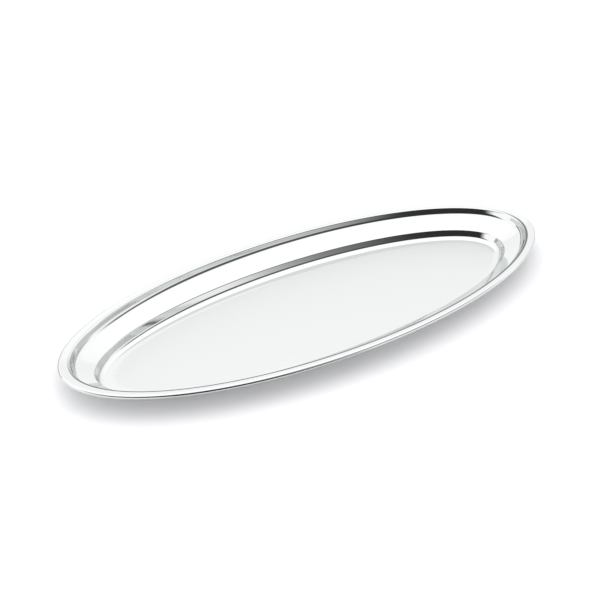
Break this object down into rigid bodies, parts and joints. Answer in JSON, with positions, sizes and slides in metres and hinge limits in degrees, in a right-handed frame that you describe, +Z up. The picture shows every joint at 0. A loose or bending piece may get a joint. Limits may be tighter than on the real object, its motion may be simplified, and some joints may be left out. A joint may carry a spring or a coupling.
{
  "type": "serving tray",
  "caption": "Long oval stainless steel serving tray for a whole fish, with a shallow flat well, a stepped polished border and a curled-under edge.",
  "frame": {"origin": "on the table surface, under the middle of the tray", "axes": "+X along the tray's long axis, +Y across it, +Z up"},
  "size_m": [0.6, 0.25, 0.03],
  "materials": {
    "stainless_steel": "fine satin floor inside a mirror-polished border and edge"
  },
  "bodies": {
    "root": {"tray_pressing": "stainless_steel"}
  },
  "joints": []
}
